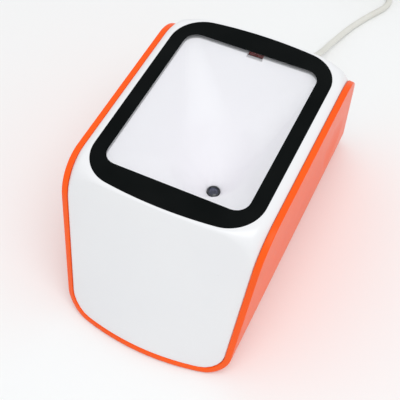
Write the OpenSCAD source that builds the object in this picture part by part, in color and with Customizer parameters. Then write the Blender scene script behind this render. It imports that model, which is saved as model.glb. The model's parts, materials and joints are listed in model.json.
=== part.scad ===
// Flatbed presentation scanner: a white tapered housing with a glass window on
// top, held in a U-shaped outer shell, with a light well, a camera, boards, a
// modular cable socket and a USB cable whose spare length is coiled and tied.
// Millimetres. +Z is up, -Y is the front, and the origin is the middle of the
// base on the table.

/* [Body] */
// Height of the glass above the table
height = 77.4; // [70:0.1:90]
// Half width over the side panels at their top edge
panel_half_w = 45.2; // [43:0.1:50]
// Height of the side panels' top edge
panel_top = 75.3; // [72:0.1:76]
// How far each side leans in, per millimetre of height
side_taper = 0.073; // [0:0.001:0.12]
// Half length of the panels' end edges, produced down to the table
end_half = 72.4; // [68:0.1:80]
// How far the end edges lean in, per millimetre of height
end_lean = 0.31; // [0.2:0.005:0.35]
// How far the ends bow out at the middle, at table height
bow_base = 6.6; // [4:0.1:10]

/* [Outer shell] */
// Thickness of the outer shell's sides
shell_wall = 2.8; // [2:0.1:4]
// Thickness of the outer shell's floor
shell_floor = 2.2; // [2:0.1:3]
// Outer radius of the shell's bottom corners
shell_corner = 10.6; // [9.5:0.1:12]
// Inner radius of the shell's bottom corners
inner_corner = 9.2; // [6:0.1:9.4]
// How far the shell's lips stand proud of the white faces
lip_proud = 0.6; // [0:0.05:0.8]
// Half width of the oval thumb dimples in the sides
dimple_r = 12; // [8:0.5:16]
// Length of the thumb dimples over their width
dimple_long = 1.75; // [1:0.05:2]
// Angle by which the thumb dimples' tops lean forward
dimple_tilt = 28; // [0:1:45]
// Depth of the thumb dimples
dimple_depth = 1.4; // [0.5:0.1:1.8]

/* [Window] */
// Half width of the glass
glass_half_w = 38; // [36:0.1:38.2]
// Half length of the glass at the middle
glass_apex = 51.1; // [50:0.1:53]
// Radius of the glass's bowed ends
glass_bow_r = 190; // [150:5:260]
// Radius of the glass's corners
glass_corner = 16; // [14:0.5:18]
// Half width of the clear window
clear_half_w = 31.5; // [28:0.1:32]
// Half length of the clear window
clear_half_l = 40.1; // [36:0.1:41]
// Corner radius of the clear window
clear_corner = 6; // [4:0.5:8]
// Distance of the window's centre behind the base's centre
window_y = 0.4; // [0:0.1:1.5]

/* [Camera] */
// Height of the lens above the table
lens_top = 25.2; // [24:0.1:27]
// Distance of the lens behind the base's centre
camera_y = -1.5; // [-3:0.1:1]
// Radius of the lens barrel
barrel_r = 3.1; // [2.5:0.1:4]
// Half width of the light well's flat bottom
well_half = 6.6; // [5:0.1:9]

/* [Rear] */
// Distance of the cable to the side of the middle
socket_x = 8; // [6:0.5:10]
// Height of the cable's axis where it leaves the socket
cable_z = 17.5; // [17:0.1:18]
// Distance of the reset key to the side of the cable
key_x = -15; // [-16:0.5:-12]
// Travel of the reset key
key_travel = 0.8; // [0.4:0.1:0.9]

/* [Cable] */
// Diameter of the cable
cable_d = 3.5; // [3:0.1:4]
// Mean radius of the stored coil
coil_r = 19.5; // [17.5:0.5:21]

/* [Hidden] */

fit = 0.15;          // gap between pieces that sit in each other
thread_gap = 0.05;   // gap round a screw or a pin in its hole
past = 1;            // how far a cut runs past the face it opens
floor_z = 0.7;       // underside of the outer shell
shell_in_z = floor_z + shell_floor;
shoulder_x = panel_half_w - shell_wall;
dimple_y = 38;
dimple_z = 38.5;

housing_low = shell_in_z + 0.2;
housing_wall = 2.2;
rim = 0.5;           // flat white rim round the glass
rim_corner = 14;     // radius of the glass's corners that the rim's outer edge is drawn from
edge = 0.6;          // length of the softened edge in front of that rim
print_t = 0.1;
glass_t = 2;
glass_low = height - print_t - glass_t;
gasket_t = 0.5;
ledge_z = glass_low - gasket_t;
ledge_t = 2.4;
ledge_grow = 4.3;    // how far the ledge's opening is larger than the clear window
well_grow = 2.7;     // how far the well's open top is larger than the clear window
gasket_grow = 2.8;   // how far the gasket's opening is larger than the clear window
well_wall = 1.4;
well_floor = lens_top - 0.4;
flange_t = 1.2;

base_low = shell_in_z + 0.4;
base_top = base_low + 1.8;
base_half_w = 29;
base_half_l = 66;
base_screw = [25.5, 28];
base_head_t = 1;
shell_screw = [23, 52];
shell_head_t = 1;
boss_top = 9.5;
foot_r = 6;
foot_t = 1.2;
label = [20, 12, 0.3];

board_low = 10;
board_top = 11.6;
board_half_w = 20;
board_front = -48;
board_rear = 66;
board_screw = [17, 42];
camera_low = lens_top - 6.4;
camera_top = camera_low + 1.2;
camera_half = [13, 12];
camera_screw = [10.5, 8.5];
holder_half = 6;
holder_top = lens_top - 2;
lens_r = 2.2;
flex_w = 9;
flex_t = 0.25;
led_pitch = 9;
sensor_x = 0.4;
sensor_w = 7.2;
sensor_h = 1.3;
sensor_rear = clear_half_l + window_y + 3.2;

socket_front = 50;
socket_rear = 66;
socket_half_w = 7.5;
socket_top = 24.1;
cavity_front = 52.5;
plug_front = 53;
plug_rear = 71;
plug_half_w = 5.8;
plug_half_h = 3.3;
slot_half_w = 4.8;
boot_end = 92;
latch_pivot = [55.5, cable_z + 4.4];
latch_end = [73.6, cable_z + 6.6];
latch_t = 0.9;
latch_half_w = 3;
pin_r = 0.7;
ear_t = 1.2;
key_z = 15.5;
key_r = 2.4;
key_in = 64;
key_out = 73.6;
key_flange = [3.3, 67.4, 68.4];
plunger_end = key_in - key_travel - 0.2;

coil_x = 6;
coil_y = 215.5;
coil_w = 10.6;
coil_low = 0.7;
coil_top = 14.9;
tie_t = 0.7;
tie_half_w = 2;
tie_angle = -30;
usb_off = 8;         // how far the plug lies behind the coil's middle
usb_half_w = 7.6;
usb_h = 7.6;
usb_body = [-15, 11];
usb_shell_half = [6, 2.25];
usb_end = 29.5;

// Route of the cable from the boot's end, out of sight to the coil's first turn
LEAD = [
    [8, 92, 17.5], [8, 98, 17.4], [7.9, 103, 16.8], [7.8, 107, 15.8],
    [7.7, 110.6, 14.3], [7.7, 114.2, 12.2], [8.1, 118.3, 10], [8.4, 122.4, 8.1],
    [8.9, 126.5, 6.6], [9.5, 131.7, 5.1], [10.4, 136.9, 4], [11.6, 142.2, 3.1],
    [13.2, 148.2, 2.4], [15.1, 154.2, 2], [17.5, 160, 1.8], [20, 165.3, 1.8],
    [22.6, 170.2, 1.8], [25.1, 174.6, 1.8], [27, 178.2, 1.8], [28, 181.3, 1.8],
    [28.4, 184.4, 1.8], [27.9, 187.4, 1.8], [26.4, 190, 1.8], [24, 191.8, 1.8],
    [21.1, 192.6, 1.8], [18, 192.7, 1.9], [14.5, 192.7, 2.1], [10.3, 192.6, 2.4],
    [6, 192.4, 2.5]
];

// Half width over the sides at a height
function half_w(z) = panel_half_w - side_taper * (panel_top - z);

// How far a rounded bottom corner pulls a side in, at a height
function corner_pull(z, low, r) =
    z < low + r ? r - sqrt(max(0, r * r - pow(low + r - z, 2))) : 0;

// Height of the crown across the width: flat over the glass, then down to the panels
function crown_z(x) =
    let (start = glass_half_w + rim, t = (abs(x) - start) / (shoulder_x - start))
    height - (height - panel_top) * pow(min(1, max(0, t)), 1.6);

// Half length of the glass's outline, grown by a distance, at x
function outline_y(x, grow, corner = glass_corner) =
    let (
        w = glass_half_w + grow,
        rc = corner + grow,
        rb = glass_bow_r + grow,
        bow_y = glass_apex - glass_bow_r,
        corner_x = w - rc,
        corner_y = bow_y + sqrt(pow(rb - rc, 2) - corner_x * corner_x),
        meet_x = corner_x * rb / (rb - rc),
        a = min(abs(x), w)
    )
    a < meet_x ? bow_y + sqrt(rb * rb - a * a)
               : corner_y + sqrt(max(0, rc * rc - pow(a - corner_x, 2)));

// Where the flat rim ends, towards the front (side -1) or the rear (side 1)
function rim_y(x, side) = outline_y(x, rim, rim_corner) + side * window_y;

// Line that an end's outer edges follow, and how far the end bows out from it
function end_line(z) = end_half - end_lean * z;
function bow_crown(side) = rim_y(0, side) + edge - end_line(height);
function bow(z, side) = bow_base + (bow_crown(side) - bow_base) * z / height;

// Sloping end face; q is the share of the half width
function end_y(q, z, side) = end_line(z) + bow(z, side) * (1 - q * q);
function end_angle(q, side) =
    atan(end_lean + (bow_base - bow_crown(side)) / height * (1 - q * q));

// Radius that rounds the crown into an end, and the height where it meets the face
function crown_r(x, side) =
    let (z = crown_z(x), q = x / half_w(z))
    (end_y(q, z, side) - rim_y(x, side)) / tan((90 - end_angle(q, side)) / 2);
function knee_z(x, side) =
    let (q = x / half_w(crown_z(x)))
    crown_z(x) - crown_r(x, side) * (1 - sin(end_angle(q, side)));

// Outer skin of an end at a height; x is the place on the crown that the section starts from
function skin_y(x, q, z, side) =
    let (r = crown_r(x, side), centre = crown_z(x) - r)
    z < knee_z(x, side)
        ? end_y(q, z, side)
        : rim_y(x, side) + sqrt(max(0, r * r - pow(z - centre, 2)));

// Points of a rectangle with round corners, centred at 0,0
function rounded_points(w, l, r, steps = 6) = [
    for (c = [0:3], k = [0:steps])
        let (
            a = c * 90 + k * 90 / steps,
            sx = (c == 0 || c == 3) ? 1 : -1,
            sy = c < 2 ? 1 : -1
        )
        [sx * (w - r) + r * cos(a), sy * (l - r) + r * sin(a)]
];

// Points of the glass's outline, grown by a distance
function outline_points(grow, steps = 36) =
    let (w = glass_half_w + grow)
    concat(
        [for (k = [0:steps]) let (x = w * cos(k * 180 / steps)) [x, outline_y(x, grow)]],
        [for (k = [0:steps]) let (x = -w * cos(k * 180 / steps)) [x, -outline_y(x, grow)]]
    );

// Heights of one section's points, from the bottom corner over the knee to the crown
function section_heights(x, side, low, drop, corner) =
    let (top = crown_z(x) - drop, knee = min(knee_z(x, side), top - 0.2), bend = low + corner)
    concat(
        [for (k = [0:4]) bend - corner * cos(k * 22.5)],
        [for (k = [1:3]) bend + (knee - bend) * k / 3],
        [for (k = [1:8]) knee + (top - knee) * sin(k * 90 / 8)]
    );

// One section of the body: front points from low to high, then rear points
function section(share, side_inset, end_inset, low, drop, corner) =
    let (x_top = share * shoulder_x)
    [
        for (side = [-1, 1], z = section_heights(x_top, side, low, drop, corner))
            let (x = share * (half_w(z) - side_inset - corner_pull(z, low, corner)))
            [x, side * (skin_y(x_top, x / half_w(z), z + drop * (z - low) / height, side)
                - end_inset), z]
    ];

// Closed body, inset from the envelope; shares are the places of its sections
module envelope(side_inset, end_inset, low, drop, corner, shares) {
    sections = [for (s = shares) section(s, side_inset, end_inset, low, drop, corner)];
    rows = len(sections[0]) / 2;
    ring = 2 * rows;
    order = concat([for (k = [0:rows - 1]) k], [for (k = [rows - 1:-1:0]) rows + k]);
    far = (len(shares) - 1) * ring;
    skin = [
        for (i = [0:len(shares) - 2], k = [0:ring - 1])
            let (
                a = i * ring + order[k],
                b = i * ring + order[(k + 1) % ring],
                c = b + ring,
                d = a + ring
            )
            each [[a, b, c], [a, c, d]]
    ];
    caps = [
        for (k = [0:rows - 2])
            let (f = k, g = k + 1, r = rows + k, s = rows + k + 1)
            each [
                [f, r, s], [f, s, g],
                [far + f, far + s, far + r], [far + f, far + g, far + s]
            ]
    ];
    polyhedron([for (s = sections) each s], concat(skin, caps), convexity = 8);
}

// Sections crowd towards the sides, where the skin turns most
function spread_shares(n) = [for (k = [-n:n]) sin(k * 90 / n)];

// Flat plate from a list of points, between two heights
module plate(points, low, high) {
    translate([0, 0, low])
        linear_extrude(high - low)
            polygon(points);
}

// Plate in the shape of the glass, about the window's centre
module glass_plate(grow, low, high) {
    translate([0, window_y, 0])
        plate(outline_points(grow), low, high);
}

// Plate in the shape of the clear window, about the window's centre
module clear_plate(grow, low, high) {
    translate([0, window_y, 0])
        plate(rounded_points(clear_half_w + grow, clear_half_l + grow,
            clear_corner + grow), low, high);
}

// Four copies, mirrored left to right and front to rear
module at_corners(x, y) {
    for (sx = [-1, 1], sy = [-1, 1])
        translate([sx * x, sy * y, 0])
            children();
}

// Upright cylinder between two heights
module post(r, low, high) {
    translate([0, 0, low])
        cylinder(r = r, h = high - low, $fn = 48);
}

// Pan-headed screw whose head sits at low and whose shank points up
module screw(head_r, head_t, shank_r, low, high) {
    post(head_r, low, low + head_t);
    post(shank_r, low + head_t, high);
}

// Pan-headed screw whose head is on top and whose shank points down
module screw_down(head_r, head_t, shank_r, seat, low) {
    post(head_r, seat, seat + head_t);
    post(shank_r, low, seat);
}

// Box between two corners
module block(a, b) {
    translate(a)
        cube(b - a);
}

// Stations down one side and round its bottom corner: outer x and z, inner x and z
function side_stations() = concat(
    [
        for (k = [0:9])
            let (z = panel_top - 19 * (1 - cos(k * 10)))
            [half_w(z), z, half_w(z) - shell_wall, z]
    ],
    [
        for (k = [0:3])
            let (
                start = panel_top - 21,
                z = start - (start - floor_z - shell_corner) * k / 3
            )
            [half_w(z), z, half_w(z) - shell_wall, z]
    ],
    [
        for (k = [1:8])
            let (
                a = k * 90 / 8,
                zo = floor_z + shell_corner * (1 - sin(a)),
                zi = shell_in_z + inner_corner * (1 - sin(a))
            )
            [
                half_w(zo) - shell_corner * (1 - cos(a)), zo,
                half_w(zi) - shell_wall - inner_corner * (1 - cos(a)), zi
            ]
    ]
);

// Stations all the way round the U, from the left panel's top to the right panel's top
function shell_stations() =
    let (right = side_stations(), n = len(right), span = right[n - 1])
    concat(
        [for (s = right) [-s[0], s[1], -s[2], s[3]]],
        [for (k = [-5:5]) [k / 6 * span[0], floor_z, k / 6 * span[2], shell_in_z]],
        [for (k = [n - 1:-1:0]) right[k]]
    );

// Four points of the U's section at a station: front outer and inner, rear inner and outer
function shell_ring(s) =
    let (
        qo = s[0] / half_w(s[1]),
        qi = s[2] / half_w(s[3]),
        xo = qo * panel_half_w,
        xi = qi * panel_half_w
    )
    [
        [s[0], -skin_y(xo, qo, s[1], -1) - lip_proud, s[1]],
        [s[2], -skin_y(xi, qi, s[3], -1) - lip_proud, s[3]],
        [s[2], skin_y(xi, qi, s[3], 1) + lip_proud, s[3]],
        [s[0], skin_y(xo, qo, s[1], 1) + lip_proud, s[1]]
    ];

module shell_skin() {
    stations = shell_stations();
    far = 4 * (len(stations) - 1);
    walls = [
        for (i = [0:len(stations) - 2], k = [0:3])
            let (a = 4 * i + k, b = 4 * i + (k + 1) % 4)
            each [[a, b + 4, a + 4], [a, b, b + 4]]
    ];
    ends = [[0, 2, 1], [0, 3, 2], [far, far + 1, far + 2], [far, far + 2, far + 3]];
    polyhedron([for (s = stations) each shell_ring(s)], concat(walls, ends), convexity = 8);
}

// Shallow oval dish for a thumb in one side
module dimple(side) {
    ball = (dimple_r * dimple_r + dimple_depth * dimple_depth) / (2 * dimple_depth);
    lean = atan(side_taper);
    out = ball - dimple_depth;
    translate([side * half_w(dimple_z), dimple_y, dimple_z])
        rotate([0, side * lean, 0])
            translate([side * out, 0, 0])
                rotate([dimple_tilt, 0, 0])
                    scale([1, 1, dimple_long])
                        sphere(r = ball, $fn = 96);
}

module outer_shell() {
    color("orangered")
        difference() {
            shell_skin();
            for (side = [-1, 1])
                dimple(side);
            at_corners(shell_screw[0], shell_screw[1]) {
                post(foot_r + fit, floor_z - past, foot_t);
                post(2.8, floor_z, foot_t + shell_head_t);
                post(1.2 + fit, floor_z, shell_in_z + past);
            }
            plate(rounded_points(label[0] + fit, label[1] + fit, 2), floor_z - past,
                floor_z + label[2]);
        }
}

module key_hole(r) {
    translate([key_x, key_in - 4, key_z])
        rotate([-90, 0, 0])
            cylinder(r = r, h = 20, $fn = 48);
}

module housing() {
    boss_high = 26;
    color("white")
        difference() {
            union() {
                difference() {
                    envelope(shell_wall + fit, 0, housing_low, 0, inner_corner - fit,
                        spread_shares(14));
                    intersection() {
                        envelope(shell_wall + fit + housing_wall, housing_wall + 0.2,
                            housing_low - past, 0, inner_corner - fit, spread_shares(8));
                        block([-60, -90, 0], [60, 90, ledge_z - ledge_t]);
                    }
                }
                at_corners(base_screw[0], base_screw[1]) {
                    post(3, base_top, boss_high);
                }
                for (sx = [-1, 1], sy = [-1, 1])
                    translate([sx * 31, sy * base_screw[1], (base_top + 6 + boss_high) / 2])
                        cube([8.5, 2, boss_high - base_top - 6], center = true);
            }
            glass_plate(fit, ledge_z, height + past);
            clear_plate(ledge_grow, ledge_z - ledge_t - past, height);
            at_corners(base_screw[0], base_screw[1])
                post(1 + thread_gap, base_top - past, 17);
            translate([socket_x, 60, cable_z + 2.3])
                rotate([-90, 0, 0])
                    plate(rounded_points(socket_half_w + 0.6, 8.2, 1.5), 0, 25);
            key_hole(key_r + 0.08);
        }
}

module window_glass() {
    color("lightcyan", 0.4)
        glass_plate(0, glass_low, height - print_t);
}

module window_border() {
    color("black")
        difference() {
            glass_plate(0, height - print_t, height);
            clear_plate(0, height - past, height + past);
        }
}

module window_gasket() {
    color("dimgray")
        difference() {
            glass_plate(-0.4, ledge_z, glass_low);
            clear_plate(gasket_grow, ledge_z - past, glass_low + past);
        }
}

// Four-sided cone of the light well, grown outwards
module well_cone(grow, low) {
    hull() {
        clear_plate(well_grow + grow, ledge_z - 0.01, ledge_z);
        translate([0, camera_y, 0])
            plate(rounded_points(well_half + grow, well_half + grow,
                well_half + grow - 0.1), low, low + 0.01);
    }
}

module light_well() {
    color("whitesmoke")
        difference() {
            union() {
                well_cone(well_wall, well_floor - well_wall);
                clear_plate(ledge_grow - fit, ledge_z - flange_t, ledge_z);
            }
            well_cone(0, well_floor);
            translate([0, 0, 0.02])
                clear_plate(well_grow, ledge_z - 0.03, ledge_z + past);
            block([sensor_x - sensor_w / 2 - fit, clear_half_l, ledge_z - 0.1 - sensor_h - fit],
                [sensor_x + sensor_w / 2 + fit, sensor_rear + 2, ledge_z + past]);
            translate([0, camera_y, 0])
                post(barrel_r + 0.25, well_floor - 3, well_floor + past);
        }
}

module lens_barrel() {
    color("black")
        translate([0, camera_y, 0])
            difference() {
                post(barrel_r, camera_top + 1.3, lens_top);
                post(lens_r, camera_top + 0.8, lens_top + past);
                post(lens_r + 0.5, lens_top - 0.35, lens_top + past);
            }
}

module lens_glass() {
    color("darkslateblue", 0.6)
        translate([0, camera_y, 0])
            intersection() {
                post(lens_r - 0.02, lens_top - 2.4, lens_top);
                translate([0, 0, lens_top - 0.2 - 5])
                    sphere(r = 5, $fn = 96);
            }
}

module lens_holder() {
    color("dimgray")
        translate([0, camera_y, 0])
            difference() {
                block([-holder_half, -holder_half, camera_top],
                    [holder_half, holder_half, holder_top]);
                post(barrel_r + thread_gap, camera_top + 1.2, holder_top + past);
                block([-4, -4, camera_top - past], [4, 4, camera_top + 1.21]);
            }
}

module image_sensor() {
    color("darkslategray")
        translate([0, camera_y, 0])
            block([-3.2, -3.2, camera_top], [3.2, 3.2, camera_top + 0.9]);
}

module camera_board() {
    color("darkgreen")
        translate([0, camera_y, 0])
            difference() {
                block([-camera_half[0], -camera_half[1], camera_low],
                    [camera_half[0], camera_half[1], camera_top]);
                at_corners(camera_screw[0], camera_screw[1])
                    post(1.05, camera_low - past, camera_top + past);
            }
}

module camera_spacers() {
    color("gold")
        translate([0, camera_y, 0])
            at_corners(camera_screw[0], camera_screw[1])
                difference() {
                    post(1.9, board_top, camera_low);
                    post(1.05, board_top - past, camera_low + past);
                }
}

module camera_screws() {
    color("silver")
        translate([0, camera_y, 0])
            at_corners(camera_screw[0], camera_screw[1])
                screw_down(1.8, 1, 1, camera_top, board_low);
}

module camera_flex() {
    edge_y = camera_y - camera_half[1];
    flex_z = camera_top + 0.6;
    bend_r = 2;
    color("goldenrod")
        rotate([90, 0, 90])
            linear_extrude(flex_w, center = true)
                union() {
                    translate([edge_y - 2, flex_z])
                        square([2, flex_t]);
                    intersection() {
                        translate([edge_y - 2, flex_z + flex_t - bend_r])
                            difference() {
                                circle(bend_r, $fn = 48);
                                circle(bend_r - flex_t, $fn = 48);
                            }
                        translate([edge_y - 2 - bend_r, flex_z + flex_t - bend_r])
                            square(bend_r);
                    }
                    translate([edge_y - 2 - bend_r, 12.9])
                        square([flex_t, flex_z + flex_t - bend_r - 12.9]);
                }
}

module flex_sockets() {
    edge_y = camera_y - camera_half[1];
    color("ivory") {
        block([-5.5, edge_y, camera_top], [5.5, edge_y + 3.4, camera_top + 1.4]);
        block([-5.5, edge_y - 5.6, board_top], [5.5, edge_y - 2.2, 12.9]);
    }
}

module led_board(y0, y1) {
    color("white")
        block([-22, y0, ledge_z - ledge_t - 1.2], [22, y1, ledge_z - ledge_t]);
}

module led_board_front() {
    led_board(-49.4, -44.4);
}

module led_board_rear() {
    led_board(45.6, 50.6);
}

module led_chips() {
    top = ledge_z - ledge_t - 1.2;
    color("lightyellow")
        for (y = [-46.9, 48.1], k = [-2:2])
            block([k * led_pitch - 1.75, y - 1.4, top - 0.8],
                [k * led_pitch + 1.75, y + 1.4, top]);
}

module sensor_window() {
    half = sensor_w / 2;
    top = ledge_z - 0.1;
    color("darkred")
        difference() {
            for (x = [sensor_x - half, sensor_x + 0.1])
                block([x, clear_half_l, top - sensor_h], [x + half - 0.1, sensor_rear, top]);
            well_cone(0, well_floor);
        }
}

module sensor_board() {
    neck = ledge_z - flange_t - 0.3;
    color("darkgreen") {
        block([-6, sensor_rear, 61], [7.6, sensor_rear + 0.8, neck]);
        block([sensor_x - 3.4, sensor_rear, neck - 1],
            [sensor_x + 3.4, sensor_rear + 0.8, ledge_z - 0.2]);
    }
}

module main_board() {
    color("darkgreen")
        difference() {
            block([-board_half_w, board_front, board_low], [board_half_w, board_rear, board_top]);
            at_corners(board_screw[0], board_screw[1])
                post(1.1, board_low - past, board_top + past);
            translate([0, camera_y, 0])
                at_corners(camera_screw[0], camera_screw[1])
                    post(1 + thread_gap, board_low - past, board_top + past);
        }
}

module board_chips() {
    color("dimgray") {
        block([-16, 20, board_top], [-4, 32, board_top + 1.2]);
        block([3, -36, board_top], [11, -30, board_top + 0.9]);
        block([-13, -38, board_top], [-7, -32, board_top + 1.4]);
        block([-12, 38, board_top], [-7.5, 40, board_top + 1]);
        for (k = [0:4])
            block([-16 + 3 * k, -26, board_top], [-15 + 3 * k, -24, board_top + 0.6]);
    }
}

module buzzer() {
    color("black")
        translate([10, 30, 0])
            difference() {
                post(5, board_top, board_top + 5.2);
                post(0.8, board_top + 4, board_top + 6);
            }
}

module board_screws() {
    color("silver")
        at_corners(board_screw[0], board_screw[1])
            screw_down(2, 1.2, 1, board_top, base_top + 0.6);
}

module base_plate() {
    color("whitesmoke")
        difference() {
            union() {
                plate(rounded_points(base_half_w, base_half_l, 8), base_low, base_top);
                at_corners(board_screw[0], board_screw[1])
                    post(2.6, base_low, board_low);
                at_corners(shell_screw[0], shell_screw[1])
                    post(3.2, shell_in_z, boss_top);
            }
            at_corners(board_screw[0], board_screw[1])
                post(1 + thread_gap, base_top, board_low + past);
            at_corners(shell_screw[0], shell_screw[1])
                post(1.2 + thread_gap, shell_in_z - past, boss_top + past);
            at_corners(base_screw[0], base_screw[1]) {
                post(1.2, base_low - past, base_top + past);
                post(2.4, base_low - past, base_low + base_head_t);
            }
        }
}

module ballast_plate() {
    color("slategray")
        block([-16, -38, base_top], [16, 24, base_top + 2]);
}

module base_screws() {
    color("silver")
        at_corners(base_screw[0], base_screw[1])
            screw(2.3, base_head_t, 1, base_low, 16);
}

module shell_screws() {
    color("silver")
        at_corners(shell_screw[0], shell_screw[1])
            screw(2.6, shell_head_t, 1.2, foot_t, boss_top);
}

module rubber_feet() {
    color("darkgray")
        at_corners(shell_screw[0], shell_screw[1])
            post(foot_r, 0, foot_t);
}

module rating_plate() {
    color("silver")
        plate(rounded_points(label[0], label[1], 2), floor_z + 0.02, floor_z + label[2]);
}

module cable_socket() {
    color("black")
        translate([socket_x, 0, 0])
            difference() {
                block([-socket_half_w, socket_front, board_top],
                    [socket_half_w, socket_rear, socket_top]);
                block([-plug_half_w - 0.25, cavity_front, cable_z - plug_half_h - 0.3],
                    [plug_half_w + 0.25, socket_rear + past, cable_z + plug_half_h + 0.3]);
                block([-slot_half_w, cavity_front, cable_z],
                    [slot_half_w, socket_rear + past, socket_top + past]);
            }
}

module socket_contacts() {
    low = cable_z - plug_half_h - 0.3;
    color("gold")
        for (k = [0:7])
            translate([socket_x + (k - 3.5) * 1.1, 0, 0])
                block([-0.25, 54, low], [0.25, 62, low + 0.22]);
}

module reset_switch() {
    color("dimgray") {
        block([key_x - 3, 57, board_top], [key_x + 3, 61.5, 18.4]);
        translate([key_x, 61.5, key_z])
            rotate([-90, 0, 0])
                cylinder(r = 1.2, h = plunger_end - 61.5, $fn = 32);
    }
}

module reset_key() {
    color("gray")
        translate([key_x, 0, key_z])
            rotate([-90, 0, 0]) {
                translate([0, 0, key_in])
                    cylinder(r = key_r, h = key_out - key_in, $fn = 48);
                translate([0, 0, key_flange[1]])
                    cylinder(r = key_flange[0], h = key_flange[2] - key_flange[1], $fn = 48);
            }
}

module plug_body() {
    color("lightgray", 0.8)
        translate([socket_x, 0, 0])
            difference() {
                union() {
                    block([-plug_half_w, plug_front, cable_z - plug_half_h],
                        [plug_half_w, plug_rear, cable_z + plug_half_h]);
                    for (sx = [-1, 1])
                        translate([sx * (latch_half_w + 0.2 + ear_t / 2), latch_pivot[0], 0])
                            block([-ear_t / 2, -1.3, cable_z], [ear_t / 2, 1.3, latch_pivot[1] + 1.2]);
                }
                translate([-10, latch_pivot[0], latch_pivot[1]])
                    rotate([0, 90, 0])
                        cylinder(r = pin_r + thread_gap, h = 20, $fn = 32);
            }
}

module plug_latch() {
    run = latch_end - latch_pivot;
    lean = atan(run[1] / run[0]);
    color("lightgray", 0.8)
        translate([socket_x, latch_pivot[0], latch_pivot[1]])
            rotate([lean, 0, 0]) {
                translate([-latch_half_w - 0.2 - ear_t, 0, 0])
                    rotate([0, 90, 0])
                        cylinder(r = pin_r, h = 2 * (latch_half_w + 0.2 + ear_t), $fn = 32);
                block([-latch_half_w, 0, -latch_t / 2],
                    [latch_half_w, norm(run), latch_t / 2]);
                block([-latch_half_w, 7, latch_t / 2 - 0.1], [latch_half_w, 8.2, latch_t / 2 + 0.7]);
            }
}

module plug_boot() {
    collar = 6;
    color("whitesmoke")
        translate([socket_x, plug_rear, cable_z])
            rotate([-90, 0, 0])
                rotate_extrude($fn = 48)
                    polygon(concat(
                        [[0, 0], [4, 0], [4, collar]],
                        [
                            for (k = [0:5])
                                let (z = collar + 0.5 + 2.2 * k, r = 3.8 - 0.2 * k)
                                each [[r - 0.7, z], [r - 0.7, z + 0.8], [r, z + 0.8], [r - 0.1, z + 2.2]]
                        ],
                        [[2.6, boot_end - plug_rear - 0.5], [2.3, boot_end - plug_rear],
                            [0, boot_end - plug_rear]]
                    ));
}

// Unit vector along the lead at one of its points
function lead_dir(i) =
    let (a = LEAD[max(0, i - 1)], b = LEAD[min(len(LEAD) - 1, i + 1)], d = b - a)
    d / norm(d);

module cable_lead() {
    sides = 8;
    n = len(LEAD);
    r = cable_d / 2;
    rings = [
        for (i = [0:n - 1])
            let (
                d = lead_dir(i),
                across = cross(d, [0, 0, 1]) / norm(cross(d, [0, 0, 1])),
                up = cross(across, d)
            )
            for (k = [0:sides - 1])
                let (a = (k + 0.5) * 360 / sides)
                LEAD[i] + r * (cos(a) * across + sin(a) * up)
    ];
    walls = [
        for (i = [0:n - 2], k = [0:sides - 1])
            let (a = i * sides + k, b = i * sides + (k + 1) % sides)
            each [[a, b + sides, a + sides], [a, b, b + sides]]
    ];
    start = [for (k = [sides - 1:-1:0]) k];
    end = [for (k = [0:sides - 1]) (n - 1) * sides + k];
    color("ivory")
        polyhedron(rings, concat(walls, [start, end]), convexity = 6);
}

module cable_coil() {
    color("ivory")
        translate([coil_x, coil_y, 0])
            rotate_extrude($fn = 72)
                translate([coil_r - coil_w / 2, coil_low])
                    square([coil_w, coil_top - coil_low]);
}

module coil_tie() {
    color("black")
        translate([coil_x, coil_y, 0])
            rotate([0, 0, tie_angle])
                translate([coil_r, 0, 0])
                    difference() {
                        block([-coil_w / 2 - tie_t, -tie_half_w, coil_low - tie_t],
                            [coil_w / 2 + tie_t, tie_half_w, coil_top + tie_t]);
                        block([-coil_w / 2, -tie_half_w - past, coil_low],
                            [coil_w / 2, tie_half_w + past, coil_top]);
                    }
}

// Frame of the USB plug, which lies across the top of the coil
module on_coil() {
    translate([coil_x, coil_y + usb_off, coil_top])
        children();
}

module usb_plug() {
    color("ivory")
        on_coil()
            difference() {
                translate([usb_body[0], 0, usb_h / 2])
                    rotate([90, 0, 90])
                        plate(rounded_points(usb_half_w, usb_h / 2, 1.6), 0,
                            usb_body[1] - usb_body[0]);
                block([usb_body[1] - 2, -usb_shell_half[0], usb_h / 2 - usb_shell_half[1]],
                    [usb_body[1] + past, usb_shell_half[0], usb_h / 2 + usb_shell_half[1]]);
            }
}

module usb_shell() {
    color("silver")
        on_coil()
            difference() {
                block([usb_body[1] - 2, -usb_shell_half[0], usb_h / 2 - usb_shell_half[1]],
                    [usb_end, usb_shell_half[0], usb_h / 2 + usb_shell_half[1]]);
                block([usb_body[1], -usb_shell_half[0] + 0.35, usb_h / 2 - usb_shell_half[1] + 0.35],
                    [usb_end + past, usb_shell_half[0] - 0.35, usb_h / 2 + usb_shell_half[1] - 0.35]);
                for (y = [-3, 3])
                    translate([18, y, 0])
                        block([-1.2, -1.1, 0], [1.2, 1.1, usb_h + past]);
            }
}

module usb_tongue() {
    color("white")
        on_coil()
            block([usb_body[1], -5, usb_h / 2 - 1.7], [usb_end - 0.6, 5, usb_h / 2 + 0.1]);
}

outer_shell();
housing();
window_glass();
window_border();
window_gasket();
light_well();
lens_barrel();
lens_glass();
lens_holder();
image_sensor();
camera_board();
camera_spacers();
camera_screws();
camera_flex();
flex_sockets();
led_board_front();
led_board_rear();
led_chips();
sensor_window();
sensor_board();
main_board();
board_chips();
buzzer();
board_screws();
base_plate();
ballast_plate();
base_screws();
shell_screws();
rubber_feet();
rating_plate();
cable_socket();
socket_contacts();
reset_switch();
reset_key();
plug_body();
plug_latch();
plug_boot();
cable_lead();
cable_coil();
coil_tie();
usb_plug();
usb_shell();
usb_tongue();
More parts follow.
